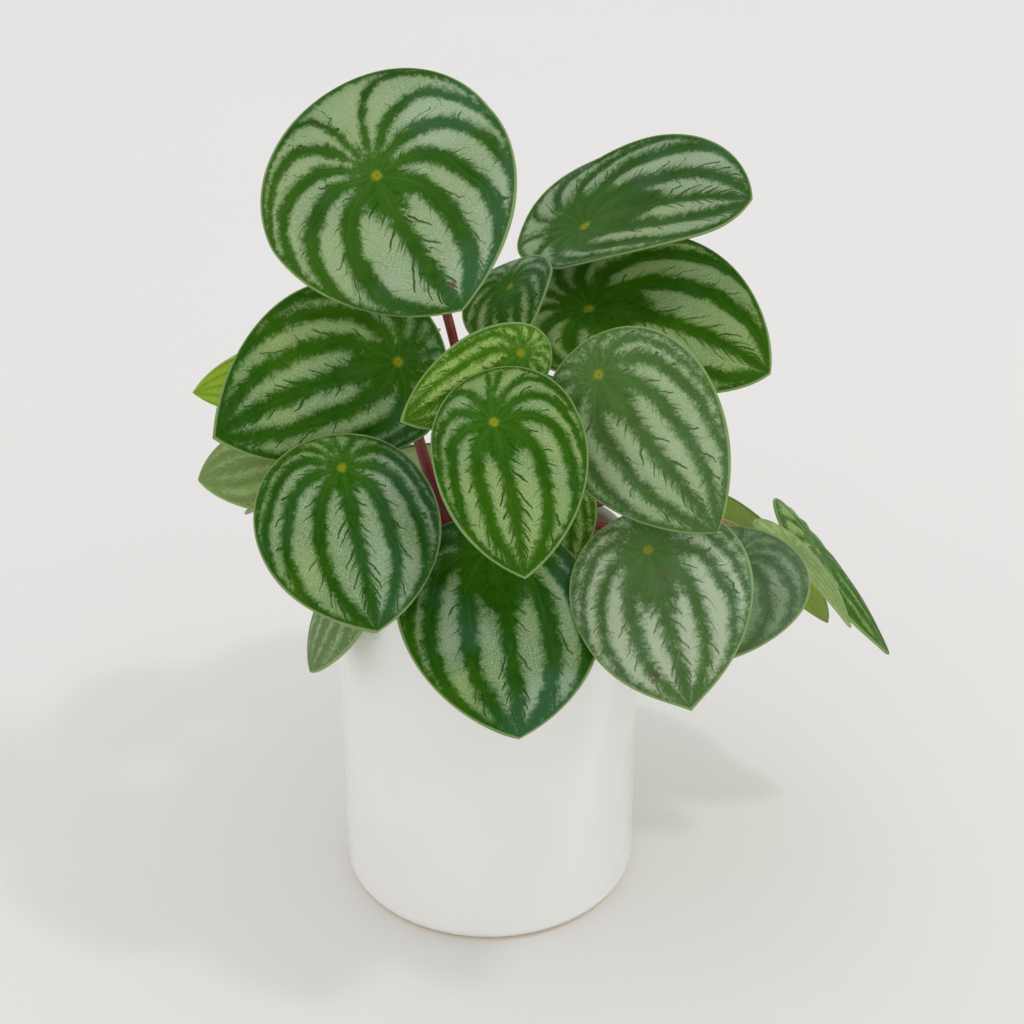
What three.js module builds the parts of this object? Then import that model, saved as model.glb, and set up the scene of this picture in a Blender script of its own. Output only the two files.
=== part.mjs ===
// A watermelon peperomia in a plain white glazed pot, in millimetres.
// +Z is up, the front faces -Y, and the origin is the middle of the pot's foot on the surface it stands on.
import * as THREE from "three";

// Driving dimensions
const POT_DIAMETER = 120;
const POT_HEIGHT = 148;
const POT_WALL = 4.5;
const POT_FLOOR = 7;
const LIP_RADIUS = 2; // the rounded rim, outside and inside
const HEEL_RADIUS = 6; // the rounded edge where the wall meets the foot
const INNER_HEEL_RADIUS = 5;
const SOIL_LEVEL = 134; // where the soil meets the pot
const SOIL_RISE = 3; // how much higher it lies round the crown
const SOIL_SHOULDER = 0.55; // share of the radius where it has risen half of that
const CROWN_RADIUS = 9;
const CROWN_TOP = 160;
const CROWN_FOOT = 112; // it stands this high above the surface, in a plain hole in the soil
const CROWN_TAPER = 4; // how much slimmer it is at the top
const TIER_HEIGHTS = [141, 147, 153]; // where the petioles spring from the crown
const CROWN_DOME = 1; // the rise of its rounded top
const GAP = 0.3; // between pieces that touch
const BLADE_THICK = 1.5; // at the petiole
const MARGIN_THICK = 0.9;
const DIMPLE_DEPTH = 1.5; // of the dimple over the petiole
const DIMPLE_RADIUS = 6;
const DRIP_TIP_SPAN = 0.3; // share of the margin, in radians, that the drip tip takes
const NECK = 0.35; // how far a petiole leans from square to its blade, towards the tip
const RISE = 0.45; // shares of its span that set how it leaves the crown and meets the blade
const REACH = 0.3;

// How finely the faces are cut
const POT_SIDES = 48;
const CROWN_SIDES = 16;
const ARC_STEPS = 4;
const BLADE_SPOKES = 20;
const BLADE_RINGS = [0.3, 0.6, 0.84, 1];
const PETIOLE_SIDES = 6;
const PETIOLE_STEPS = 8;

// Colours as seen in daylight
const GLAZE = { color: 0xd9dad6, roughness: 0.12, metalness: 0 };
const SOIL = { color: 0x3b2a1e, roughness: 0.95, metalness: 0 };
const CROWN = { color: 0x5a2a22, roughness: 0.7, metalness: 0 };
const PETIOLE = { color: 0x6e1f26, roughness: 0.45, metalness: 0 };
const BLADE = { color: 0x5f8a52, roughness: 0.4, metalness: 0 };

// The leaves, each with its petiole. A leaf is shield-shaped: the petiole meets the underside inside
// the margin, at the spot named by at. The tip points along heading (0 is the front, 90 the right,
// -90 the left, 180 the back) and droop degrees below level, and the blade is rolled about that line.
//   length, width   of the blade                     base     share of the length behind the petiole
//   arch, back      fall of tip and of base          cup      fall of both sides
//   bend, side      midrib bowed, blade offset       taper    slimness towards the tip
//   point, full     sharpness of tip, roundness      tip      length of the drip tip
//   stem            [azimuth at the crown, tier, lean from upright, radius, neck, rise, reach]
//   bow             how far the middle of the petiole is bent aside
const LEAVES = [
  { name: "leaf_01", at: [-39, -10, 310], heading: 42, droop: 39, roll: -42, length: 95, width: 92,
    base: 0.39, taper: 0.1, point: 0.6, full: 1, arch: 5, cup: 5, bend: -2,
    stem: [-40, 2, 4, 1.8, 0.35, 0.45, 0.2], bow: [10, 0, 0] },
  { name: "leaf_02", at: [37, 50, 266], heading: 63, droop: -21, roll: -25, length: 101, width: 64,
    base: 0.29, taper: -0.04, point: 0.5, full: 0.8, arch: 4, back: -1, cup: -5, bend: -5, side: -3,
    stem: [158, 2, 24, 1.8, 1, 0.45, 0.3], bow: [-17, 20, 0] },
  { name: "leaf_03", at: [39, 30, 240], heading: 64, droop: 5, roll: -22, length: 100, width: 80,
    base: 0.25, taper: 0.08, arch: 8, cup: -2, bend: -5, side: -3, stem: [128, 1, 24, 1.9] },
  { name: "leaf_04", at: [8, 20, 254], heading: -3, droop: 24, roll: -28, length: 45, width: 37,
    base: 0.33, arch: 4, cup: 0, bend: 2, stem: [-170, 2, 10, 1.3, 0, 0.5, 0.15] },
  { name: "leaf_05", at: [-32, -20, 241], heading: -70, droop: 15, roll: 64, length: 92, width: 66,
    base: 0.21, point: 0.8, full: 1, back: 7, bend: 4, side: 2, stem: [-52, 1, 22, 2.4],
    bow: [-4, 0, 0] },
  { name: "leaf_06", at: [13, -35, 252], heading: -62, droop: 20, roll: 66, length: 62, width: 31,
    base: 0.2, side: -2, full: 1, back: 5, cup: 5, stem: [22, 2, 16, 1.4] },
  { name: "leaf_07", at: [3, -62, 239], heading: 12, droop: 32, roll: -9, length: 83, width: 54,
    base: 0.28, full: 1, bend: -1, side: -5, stem: [-2, 1, 30, 1.8] },
  { name: "leaf_08", at: [40, -40, 246], heading: 45, droop: 36, roll: -51, length: 85, width: 60,
    base: 0.16, taper: 0.15, point: 0.9, full: 1, stem: [62, 1, 26, 1.9], bow: [5, 4, 0] },
  { name: "leaf_09", at: [-52, -50, 214], heading: 16, droop: 36, roll: -9, length: 78, width: 66,
    base: 0.19, side: 4, taper: 0.05, cup: 6, full: 1, stem: [-38, 0, 40, 1.9] },
  { name: "leaf_10", at: [1, -60, 185], heading: 11, droop: 33, roll: -1, length: 88, width: 72,
    base: 0.18, full: 1, taper: 0.06, cup: 6, side: 2, bend: -2, stem: [-4, 0, 50, 2] },
  { name: "leaf_11", at: [58, -68, 190], heading: 16, droop: 37, roll: -21, length: 76, width: 65,
    base: 0.22, full: 1, tip: 1, cup: 5, side: -1, stem: [28, 0, 64, 1.9, 0.35, 0.5, 0.3] },
  { name: "leaf_12", at: [92, -28, 161], heading: -28, droop: 34, roll: -2, length: 60, width: 60,
    base: 0.28, full: 1, side: -4, stem: [64, 0, 50, 1.8, 0, 0.45, 0.3] },
  { name: "leaf_13", at: [122, 2, 147], heading: 70, droop: 38, roll: 14, length: 58, width: 28,
    base: 0.36, arch: 8, cup: 0, stem: [88, 1, 44, 1.6, 0.35, 0.5], bow: [0, -2, 0] },
  { name: "leaf_14", at: [136, 32, 130], heading: 76, droop: 50, roll: 10, length: 84, width: 40,
    base: 0.34, arch: 5, cup: 4, stem: [96, 0, 40, 1.7, 0.7, 0.6], bow: [0, 4, 2] },
  { name: "leaf_15", at: [-62, 16, 222], heading: -80, droop: 2, roll: -70, length: 76, width: 44,
    base: 0.32, stem: [-108, 1, 34, 1.7], bow: [-4, 2, -9] },
  { name: "leaf_16", at: [-73, -2, 193], heading: -78, droop: 4, roll: 24, length: 60, width: 46,
    base: 0.35, stem: [-92, 0, 44, 1.7] },
  { name: "leaf_17", at: [-54, -31, 153], heading: -60, droop: 56, roll: 0, length: 56, width: 34,
    base: 0.3, stem: [-64, 0, 50, 1.5, 0.6] },
  { name: "leaf_18", at: [25, -26, 193], heading: 0, droop: 48, roll: 0, length: 44, width: 32,
    base: 0.2, stem: [24, 1, 38, 1.5] },
  { name: "leaf_19", at: [114, 68, 117], heading: 68, droop: 40, roll: 50, length: 76, width: 60,
    base: 0.36, stem: [124, 0, 40, 1.6, 0.35, 0.6] },
  { name: "leaf_20", at: [-48, 52, 214], heading: -142, droop: 30, roll: 0, length: 84, width: 66,
    base: 0.28, stem: [-148, 1, 20, 1.8], bow: [9, 0, 0] },
  { name: "leaf_21", at: [-6, 80, 190], heading: 176, droop: 30, roll: 0, length: 88, width: 70,
    base: 0.28, stem: [-176, 1, 32, 1.9] },
  { name: "leaf_22", at: [56, 58, 200], heading: 138, droop: 34, roll: 0, length: 82, width: 66,
    base: 0.28, stem: [146, 0, 34, 1.8] },
  { name: "leaf_23", at: [-66, 40, 172], heading: -120, droop: 38, roll: 0, length: 74, width: 60,
    base: 0.28, stem: [-122, 0, 50, 1.8] },
  { name: "leaf_24", at: [-46, 78, 148], heading: -152, droop: 44, roll: 0, length: 72, width: 58,
    base: 0.28, stem: [-158, 0, 36, 1.8, 0.35, 0.6], bow: [9, 0, 4] },
  { name: "leaf_25", at: [36, 88, 158], heading: 160, droop: 44, roll: 0, length: 72, width: 60,
    base: 0.28, stem: [176, 0, 52, 1.8] },
];
const COMMON = {
  taper: 0.12, point: 0.7, full: 0.9, tip: 0, arch: 6, back: 3, cup: 4, bend: 0, side: 0,
  bow: [0, 0, 0],
};

const root = new THREE.Group();
root.name = "potted_peperomia";

function add(name, geometry, look) {
  const mesh = new THREE.Mesh(geometry, new THREE.MeshStandardMaterial(look));
  mesh.name = name;
  root.add(mesh);
}

// Points of an arc in a profile, from one angle to another in degrees
function arc(x, y, radius, from, to) {
  return Array.from({ length: ARC_STEPS + 1 }, (_, i) => {
    const angle = THREE.MathUtils.degToRad(from + ((to - from) * i) / ARC_STEPS);
    return [x + radius * Math.cos(angle), y + radius * Math.sin(angle)];
  });
}

// A closed profile of [radius, height] turned round the upright axis
function turned(profile, sides) {
  const points = profile.map(([x, y]) => new THREE.Vector2(x, y));
  return new THREE.LatheGeometry(points, sides).rotateX(Math.PI / 2);
}

// The pot: one glazed body with a flat foot to stand on
function pot() {
  const outside = POT_DIAMETER / 2;
  const inside = outside - POT_WALL;
  return turned(
    [
      [0, 0],
      ...arc(outside - HEEL_RADIUS, HEEL_RADIUS, HEEL_RADIUS, -90, 0),
      ...arc(outside - LIP_RADIUS, POT_HEIGHT - LIP_RADIUS, LIP_RADIUS, 0, 90),
      ...arc(inside + LIP_RADIUS, POT_HEIGHT - LIP_RADIUS, LIP_RADIUS, 90, 180),
      ...arc(inside - INNER_HEEL_RADIUS, POT_FLOOR + INNER_HEEL_RADIUS, INNER_HEEL_RADIUS, 0, -90),
      [0, POT_FLOOR],
    ],
    POT_SIDES,
  );
}

// The soil: it fills the pot and leaves a plain hole for the crown
function soil() {
  const outside = POT_DIAMETER / 2 - POT_WALL - GAP;
  const floor = POT_FLOOR + GAP;
  const hole = CROWN_RADIUS + GAP;
  return turned(
    [
      [0, floor],
      ...arc(outside - INNER_HEEL_RADIUS, floor + INNER_HEEL_RADIUS, INNER_HEEL_RADIUS, -90, 0),
      [outside, SOIL_LEVEL],
      [outside * SOIL_SHOULDER, SOIL_LEVEL + SOIL_RISE / 2],
      [hole, SOIL_LEVEL + SOIL_RISE],
      [hole, CROWN_FOOT - GAP],
      [0, CROWN_FOOT - GAP],
    ],
    POT_SIDES,
  );
}

function crownRadius(height) {
  const share = (height - SOIL_LEVEL) / (CROWN_TOP - SOIL_LEVEL);
  return CROWN_RADIUS - CROWN_TAPER * Math.max(0, share) ** 2;
}

// The crown: the short woody stem that all petioles spring from
function crown() {
  const heights = [CROWN_FOOT, SOIL_LEVEL, ...TIER_HEIGHTS, CROWN_TOP];
  const side = heights.map((height) => [crownRadius(height), height]);
  return turned([[0, CROWN_FOOT], ...side, [0, CROWN_TOP + CROWN_DOME]], CROWN_SIDES);
}

// Directions of a blade: across to its side, along to its tip, and out of its upper face
function directions(leaf) {
  const heading = THREE.MathUtils.degToRad(leaf.heading);
  const droop = THREE.MathUtils.degToRad(leaf.droop);
  const roll = THREE.MathUtils.degToRad(leaf.roll);
  const level = Math.cos(droop);
  const along = new THREE.Vector3(level * Math.sin(heading), -level * Math.cos(heading), -Math.sin(droop));
  const across = new THREE.Vector3(-Math.cos(heading), -Math.sin(heading), 0).applyAxisAngle(along, -roll);
  return { across, along, out: across.clone().cross(along) };
}

// The margin, turn radians round from the tip, as [across, along] from the petiole
function margin(leaf, turn) {
  const t = Math.atan2(Math.sin(turn), Math.cos(turn));
  const pointed = Math.abs(t) / Math.hypot(t, leaf.point);
  const fullest = Math.hypot(1, (2 * leaf.point) / Math.PI);
  const swell = Math.sign(Math.sin(t)) * Math.abs(Math.sin(t)) ** leaf.full;
  const across =
    (leaf.width / 2) * swell * (1 - leaf.taper * Math.cos(t)) * pointed * fullest +
    (leaf.side * (1 - Math.cos(t))) / 2;
  const along =
    (leaf.length / 2) * (1 + Math.cos(t)) - leaf.base * leaf.length +
    leaf.tip * Math.exp(-((t / DRIP_TIP_SPAN) ** 2));
  return [across, along];
}

// A point on the upper face: share is 0 over the petiole and 1 at the margin
function bladePoint(leaf, axes, share, turn) {
  const [x, y] = margin(leaf, turn).map((value) => value * share);
  const reach = y > 0 ? (1 - leaf.base) * leaf.length : leaf.base * leaf.length;
  const u = x / (leaf.width / 2);
  const v = y / reach;
  const fall = (y > 0 ? leaf.arch : leaf.back) * v * v + leaf.cup * u * u;
  const dimple = DIMPLE_DEPTH * Math.exp(-(x * x + y * y) / DIMPLE_RADIUS ** 2);
  const bow = y > 0 ? leaf.bend * 4 * v * (1 - v) : 0;
  return new THREE.Vector3(...leaf.at)
    .addScaledVector(axes.across, x + bow)
    .addScaledVector(axes.along, y)
    .addScaledVector(axes.out, -fall - dimple);
}

// The blade: an upper and a lower face cut into the same triangles, joined at the margin
function blade(leaf) {
  const axes = directions(leaf);
  const faces = [0, 1].map((under) =>
    [0, ...BLADE_RINGS].flatMap((share) =>
      Array.from({ length: share ? BLADE_SPOKES : 1 }, (_, k) => {
        const thick = MARGIN_THICK + (BLADE_THICK - MARGIN_THICK) * (1 - share * share);
        const point = bladePoint(leaf, axes, share, (2 * Math.PI * k) / BLADE_SPOKES);
        return point.addScaledVector(axes.out, -under * thick);
      }),
    ),
  );
  const count = faces[0].length;
  const at = (ring, k) => 1 + ring * BLADE_SPOKES + (k % BLADE_SPOKES);
  const upper = [];
  for (let k = 0; k < BLADE_SPOKES; k++) {
    upper.push([0, at(0, k + 1), at(0, k)]);
    for (let ring = 1; ring < BLADE_RINGS.length; ring++) {
      const [a, b, c, d] = [at(ring - 1, k), at(ring - 1, k + 1), at(ring, k + 1), at(ring, k)];
      upper.push([a, b, c], [a, c, d]);
    }
  }
  const rim = BLADE_RINGS.length - 1;
  const index = upper.flatMap(([a, b, c]) => [a, b, c, c + count, b + count, a + count]);
  for (let k = 0; k < BLADE_SPOKES; k++) {
    const [a, b] = [at(rim, k), at(rim, k + 1)];
    index.push(a, b, b + count, a, b + count, a + count);
  }
  const geometry = new THREE.BufferGeometry().setFromPoints(faces.flat());
  geometry.setIndex(index);
  geometry.computeVertexNormals();
  return geometry;
}

// The petiole's line, from the crown up to the underside of its blade
function petioleLine(leaf) {
  const [azimuth, tier, lean, radius, neck = NECK, rise = RISE, reach = REACH] = leaf.stem;
  const a = THREE.MathUtils.degToRad(azimuth);
  const l = THREE.MathUtils.degToRad(lean);
  const outward = new THREE.Vector3(Math.sin(a), -Math.cos(a), 0);
  const height = TIER_HEIGHTS[tier];
  const start = outward.clone().multiplyScalar(crownRadius(height) + GAP + radius * Math.cos(l)).setZ(height);
  const leaving = outward.clone().multiplyScalar(Math.sin(l)).setZ(Math.cos(l));
  const axes = directions(leaf);
  const meeting = axes.out.clone().addScaledVector(axes.along, neck).normalize();
  const end = new THREE.Vector3(...leaf.at)
    .addScaledVector(axes.out, -DIMPLE_DEPTH - BLADE_THICK - GAP)
    .addScaledVector(meeting, -radius * neck);
  const distance = start.distanceTo(end);
  const bow = new THREE.Vector3(...leaf.bow);
  return new THREE.CubicBezierCurve3(
    start,
    start.clone().addScaledVector(leaving, distance * rise).add(bow),
    end.clone().addScaledVector(meeting, -distance * reach).add(bow),
    end,
  );
}

function petiole(leaf) {
  const radius = leaf.stem[3];
  const section = new THREE.Shape(
    Array.from({ length: PETIOLE_SIDES }, (_, i) => {
      const angle = (2 * Math.PI * i) / PETIOLE_SIDES;
      return new THREE.Vector2(radius * Math.cos(angle), radius * Math.sin(angle));
    }),
  );
  return new THREE.ExtrudeGeometry(section, { steps: PETIOLE_STEPS, extrudePath: petioleLine(leaf) });
}

add("pot", pot(), GLAZE);
add("soil", soil(), SOIL);
add("crown", crown(), CROWN);
for (const row of LEAVES) {
  const leaf = { ...COMMON, ...row };
  add(leaf.name, blade(leaf), BLADE);
  add(leaf.name.replace("leaf", "petiole"), petiole(leaf), PETIOLE);
}

export default root;
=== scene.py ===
# A watermelon peperomia in a plain white glazed pot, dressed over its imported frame.
# Metres, +Z up, the front faces -Y. The sizes in a section are millimetres, scaled by MM.
import math

import bpy
import numpy as np
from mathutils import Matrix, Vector


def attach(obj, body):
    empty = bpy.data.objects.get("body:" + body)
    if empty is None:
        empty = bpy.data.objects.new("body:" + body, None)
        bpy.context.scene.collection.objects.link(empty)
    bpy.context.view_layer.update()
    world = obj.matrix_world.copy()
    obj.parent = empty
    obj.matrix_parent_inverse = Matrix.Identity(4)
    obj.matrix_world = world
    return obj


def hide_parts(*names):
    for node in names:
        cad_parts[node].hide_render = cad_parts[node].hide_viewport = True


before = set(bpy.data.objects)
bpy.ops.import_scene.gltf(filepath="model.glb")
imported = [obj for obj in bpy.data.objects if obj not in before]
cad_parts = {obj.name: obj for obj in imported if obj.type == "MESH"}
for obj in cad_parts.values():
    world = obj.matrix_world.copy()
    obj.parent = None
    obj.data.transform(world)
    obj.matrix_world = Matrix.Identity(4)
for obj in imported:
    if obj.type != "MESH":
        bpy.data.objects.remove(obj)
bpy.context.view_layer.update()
MM = 0.001

# The view: a camera 30 degrees above level, far off, with the long lens that the photograph's
# upright pot asks for. It looks along +Y and has no depth of field.
CAMERA_PLACE = (9.4, -782.8, 618.0)
CAMERA_FALL = math.radians(30)
LENS = 81.56

eye = bpy.data.cameras.new("view")
eye.lens = LENS
eye.sensor_width = 36
eye.clip_start = 0.01
eye.clip_end = 60
camera = bpy.data.objects.new("view", eye)
camera.location = Vector(CAMERA_PLACE) * MM
camera.rotation_euler = (math.pi / 2 - CAMERA_FALL, 0, 0)
bpy.context.scene.collection.objects.link(camera)
bpy.context.scene.camera = camera

# The pot: a slip-cast cylinder, glazed white inside and out and fired on its bare flat foot.
# The rim and the heel are softly rounded, and the glaze has the faint ripple of a dipped coat.
POT_RADIUS = 60
POT_HEIGHT = 148
POT_WALL = 4.5
POT_FLOOR = 7
LIP_RADIUS = 2
HEEL_RADIUS = 6
INNER_HEEL_RADIUS = 5
POT_SIDES = 192
PROFILE_STEP = 6  # the longest straight run of its profile
BARE_FOOT = 2.0  # how high the glaze stays clear of the surface it was fired on
GLAZE_FADE = 0.55  # and over what height it thins out there


def seen(red, green, blue):
    """A colour given as it looks on a screen, from 0 to 255, as the light it stands for."""
    return tuple(((c / 255 + 0.055) / 1.055) ** 2.4 for c in (red, green, blue))


def arc(x, y, radius, start, end, steps=8):
    """Points of an arc in a profile of [radius, height], from one angle to another in degrees."""
    angles = np.radians(np.linspace(start, end, steps + 1))
    return [(x + radius * math.cos(a), y + radius * math.sin(a)) for a in angles]


def split_runs(profile, step):
    """The profile with its long straight runs cut into pieces no longer than step."""
    points = [profile[0]]
    for (x0, y0), (x1, y1) in zip(profile, profile[1:]):
        count = max(1, math.ceil(math.hypot(x1 - x0, y1 - y0) / step))
        points += [(x0 + (x1 - x0) * i / count, y0 + (y1 - y0) * i / count) for i in range(1, count + 1)]
    return points


def turned(profile, sides):
    """Points and faces of a profile that starts and ends on the axis, turned round Z."""
    angles = np.linspace(0, 2 * math.pi, sides, endpoint=False)
    inner = profile[1:-1]
    points = [(0, 0, profile[0][1])]
    for r, z in inner:
        points += [(r * math.cos(a), r * math.sin(a), z) for a in angles]
    points.append((0, 0, profile[-1][1]))
    end = 1 + (len(inner) - 1) * sides
    faces = []
    for k in range(sides):
        n = (k + 1) % sides
        faces.append((0, 1 + n, 1 + k))
        for a in range(1, end, sides):
            faces.append((a + k, a + n, a + sides + n, a + sides + k))
        faces.append((end + k, end + n, end + sides))
    return np.array(points), faces


def piece_of(name, points, faces, material, node, slot, **marks):
    """A smooth piece of millimetre points that stands for a CAD node and rides on the root. Each
    mark is a value, or three, for every point, which the material reads by its name."""
    mesh = bpy.data.meshes.new(name)
    mesh.from_pydata((np.asarray(points) * MM).tolist(), [], faces)
    for mark, values in marks.items():
        values = np.broadcast_to(np.asarray(values, np.float32), (len(points), *np.shape(values)[1:]))
        kind, key = ("FLOAT_VECTOR", "vector") if values.ndim == 2 else ("FLOAT", "value")
        layer = mesh.attributes.new(mark, kind, "POINT")
        layer.data.foreach_set(key, np.ascontiguousarray(values).ravel())
    mesh.materials.append(material)
    mesh.shade_smooth()
    piece = bpy.data.objects.new(name, mesh)
    bpy.context.scene.collection.objects.link(piece)
    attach(piece, "root")
    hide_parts(node)


class Flow:
    """A value or colour that runs through a node tree, so that a finish reads as a formula."""

    def __init__(self, tree, socket):
        self.tree = tree
        self.socket = socket

    def math(self, operation, *others, clamp=False):
        node = self.tree.nodes.new("ShaderNodeMath")
        node.operation = operation
        node.use_clamp = clamp
        for value, entry in zip((self, *others), node.inputs):
            plug(self.tree, value, entry)
        return Flow(self.tree, node.outputs[0])

    def __add__(self, other):
        return self.math("ADD", other)

    def __sub__(self, other):
        return self.math("SUBTRACT", other)

    def __mul__(self, other):
        return self.math("MULTIPLY", other)

    def __truediv__(self, other):
        return self.math("DIVIDE", other)

    def ease(self, low, high):
        """0 up to low and 1 from high on, or the other way round where high lies under low."""
        node = self.tree.nodes.new("ShaderNodeMapRange")
        node.interpolation_type = "SMOOTHSTEP"
        ends = (low, high, 0.0, 1.0) if low < high else (high, low, 1.0, 0.0)
        for value, entry in zip((self, *ends), node.inputs):
            plug(self.tree, value, entry)
        return Flow(self.tree, node.outputs[0])

    def bell(self, width):
        """1 at 0, and about a third one width away."""
        share = self / width
        return (share * share * -1.0).math("EXPONENT")

    def blend(self, low, high):
        """The colour low where this is 0 and high where it is 1."""
        node = self.tree.nodes.new("ShaderNodeMix")
        node.data_type = "RGBA"
        for value, entry in zip((self, low, high), (node.inputs[0], node.inputs[6], node.inputs[7])):
            plug(self.tree, value, entry)
        return Flow(self.tree, node.outputs[2])


def plug(tree, value, entry):
    """Puts a flow, a number or a colour into a node's entry."""
    if isinstance(value, Flow):
        tree.links.new(value.socket, entry)
    elif isinstance(value, tuple) and entry.type == "RGBA":
        entry.default_value = (*value, 1.0)
    else:
        entry.default_value = value


def place_node(tree, kind, output, entries=None, **settings):
    """A new node with its settings and its named entries, as the flow of one of its outputs."""
    node = tree.nodes.new("ShaderNode" + kind)
    for key, value in settings.items():
        setattr(node, key, value)
    for key, value in (entries or {}).items():
        plug(tree, value, node.inputs[key])
    return Flow(tree, node.outputs[output])


def finish(name, **constants):
    """A new material with its Principled shader, whose constant entries are set by name."""
    material = bpy.data.materials.new(name)
    material.use_nodes = True
    shader = material.node_tree.nodes["Principled BSDF"]
    for key, value in constants.items():
        plug(material.node_tree, value, shader.inputs[key.replace("_", " ")])
    return material, material.node_tree, shader


def raised(tree, shader, height, depth):
    """Bumps the surface by a height from 0 to 1 that stands depth millimetres high."""
    entries = {"Height": height, "Distance": depth * MM}
    plug(tree, place_node(tree, "Bump", "Normal", entries), shader.inputs["Normal"])


def spot_mm(tree):
    """The place on a piece in millimetres, as the mesh has it."""
    entries = {0: place_node(tree, "TexCoord", "Object"), "Scale": 1 / MM}
    return place_node(tree, "VectorMath", 0, entries, operation="SCALE")


def mottle_group():
    """Mottle, which every finish shares: soft flecks of a size in millimetres, from 0 to 1."""
    group = bpy.data.node_groups.new("mottle", "ShaderNodeTree")
    group.interface.new_socket("Place", in_out="INPUT", socket_type="NodeSocketVector")
    for entry in ("Size", "Detail", "Contrast"):
        group.interface.new_socket(entry, in_out="INPUT", socket_type="NodeSocketFloat")
    group.interface.new_socket("Mask", in_out="OUTPUT", socket_type="NodeSocketFloat")
    given = group.nodes.new("NodeGroupInput").outputs
    place, size, detail, contrast = (Flow(group, given[i]) for i in range(4))
    entries = {"Vector": place, "Scale": size.math("POWER", -1.0), "Detail": detail}
    noise = place_node(group, "TexNoise", 0, entries)
    mask = ((noise - 0.5) * contrast).math("ADD", 0.5, clamp=True)
    plug(group, mask, group.nodes.new("NodeGroupOutput").inputs["Mask"])
    return group


MOTTLE = mottle_group()


def mottled(tree, place, size, detail=2.0, contrast=2.0):
    """The mottle group in a material, with its own values."""
    entries = {"Place": place, "Size": size, "Detail": detail, "Contrast": contrast}
    return place_node(tree, "Group", "Mask", entries, node_tree=MOTTLE)


def axis_of(tree, place, axis):
    """One coordinate, X, Y or Z, of a place."""
    return place_node(tree, "SeparateXYZ", axis, {"Vector": place})


def glaze():
    """White glaze, faintly clouded, over buff clay that is bare at the foot."""
    material, tree, shader = finish("white glaze", IOR=1.5, Coat_Roughness=0.03)
    place = spot_mm(tree)
    cloud = mottled(tree, place, 45.0, 2.0, 1.6)
    ripple = mottled(tree, place, 14.0, 1.0, 1.4)
    white = cloud.blend(seen(232, 231, 228), seen(226, 227, 224))
    edge = axis_of(tree, place, "Z") + mottled(tree, place, 3.0) * 0.5
    bare = edge.ease(BARE_FOOT + GLAZE_FADE, BARE_FOOT)
    clay = mottled(tree, place, 0.9, 3.0, 3.0).blend(seen(244, 228, 196), seen(228, 206, 168))
    plug(tree, bare.blend(white, clay), shader.inputs["Base Color"])
    plug(tree, bare * 0.7 + (cloud * 0.04 + 0.08), shader.inputs["Roughness"])
    plug(tree, (bare * -0.4).math("ADD", 0.4, clamp=True), shader.inputs["Coat Weight"])
    raised(tree, shader, ripple + mottled(tree, place, 2.2, 0.0, 1.0) * 0.05, 0.09)
    return material


wall_in = POT_RADIUS - POT_WALL
pot_profile = [
    (0, 0),
    *arc(POT_RADIUS - HEEL_RADIUS, HEEL_RADIUS, HEEL_RADIUS, -90, 0, 12),
    *arc(POT_RADIUS - LIP_RADIUS, POT_HEIGHT - LIP_RADIUS, LIP_RADIUS, 0, 90),
    *arc(wall_in + LIP_RADIUS, POT_HEIGHT - LIP_RADIUS, LIP_RADIUS, 90, 180),
    *arc(wall_in - INNER_HEEL_RADIUS, POT_FLOOR + INNER_HEEL_RADIUS, INNER_HEEL_RADIUS, 0, -90),
    (0, POT_FLOOR),
]
piece_of("glazed_pot", *turned(split_runs(pot_profile, PROFILE_STEP), POT_SIDES), glaze(), "pot", "glaze")

# The soil: an airy potting mix of peat, bark chips and white perlite, filled to just under the rim
# and heaped a little round the crown. Its crumbs are seeded, so they lie the same each time.
SOIL_LEVEL = 134
SOIL_RISE = 3
GAP = 0.3  # that the frame keeps between pieces
SOIL_FLOOR = POT_FLOOR + GAP
SOIL_RADIUS = wall_in - GAP
SOIL_HEEL = 5
SOIL_RINGS = 36
SOIL_SIDES = 144
SOIL_STEP = 12
SOIL_SEED = 11
CROWN_FOOT = 112
CROWN_HOLE = 9.3
CRUMBS = 1500
CRUMB_SIZES = {0.0: (1.2, 2.6), 0.5: (2.0, 4.6), 1.0: (1.3, 2.8)}  # peat, bark, perlite: radius range
CRUMB_SHARES = {0.0: 0.62, 0.5: 0.26, 1.0: 0.12}


def soil_height(r):
    """The soil's level at a distance from the crown, as a smooth heap."""
    share = np.clip((r - CROWN_HOLE) / (SOIL_RADIUS - CROWN_HOLE), 0, 1)
    return SOIL_LEVEL + SOIL_RISE * (1 - share) ** 1.3


def mark_of(tree, name, output="Fac"):
    """A mark of the mesh, as a flow."""
    return place_node(tree, "Attribute", output, attribute_name=name)


def potting_mix():
    """Dark fibrous peat, brown bark and white perlite, told apart by the mesh's mark."""
    material, tree, shader = finish("potting mix", Specular_IOR_Level=0.25)
    place = spot_mm(tree)
    kind = mark_of(tree, "kind")
    grain = mottled(tree, place, 0.8, 4.0, 3.0)
    peat = grain.blend(seen(38, 27, 19), seen(78, 58, 42))
    bark = mottled(tree, place, 1.6, 3.0, 3.0).blend(seen(92, 58, 36), seen(138, 96, 62))
    perlite = grain.blend(seen(205, 202, 192), seen(238, 236, 228))
    colour = kind.ease(0.2, 0.3).blend(peat, bark)
    plug(tree, kind.ease(0.7, 0.8).blend(colour, perlite), shader.inputs["Base Color"])
    plug(tree, grain * 0.15 + 0.8, shader.inputs["Roughness"])
    raised(tree, shader, grain, 0.5)
    return material


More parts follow.
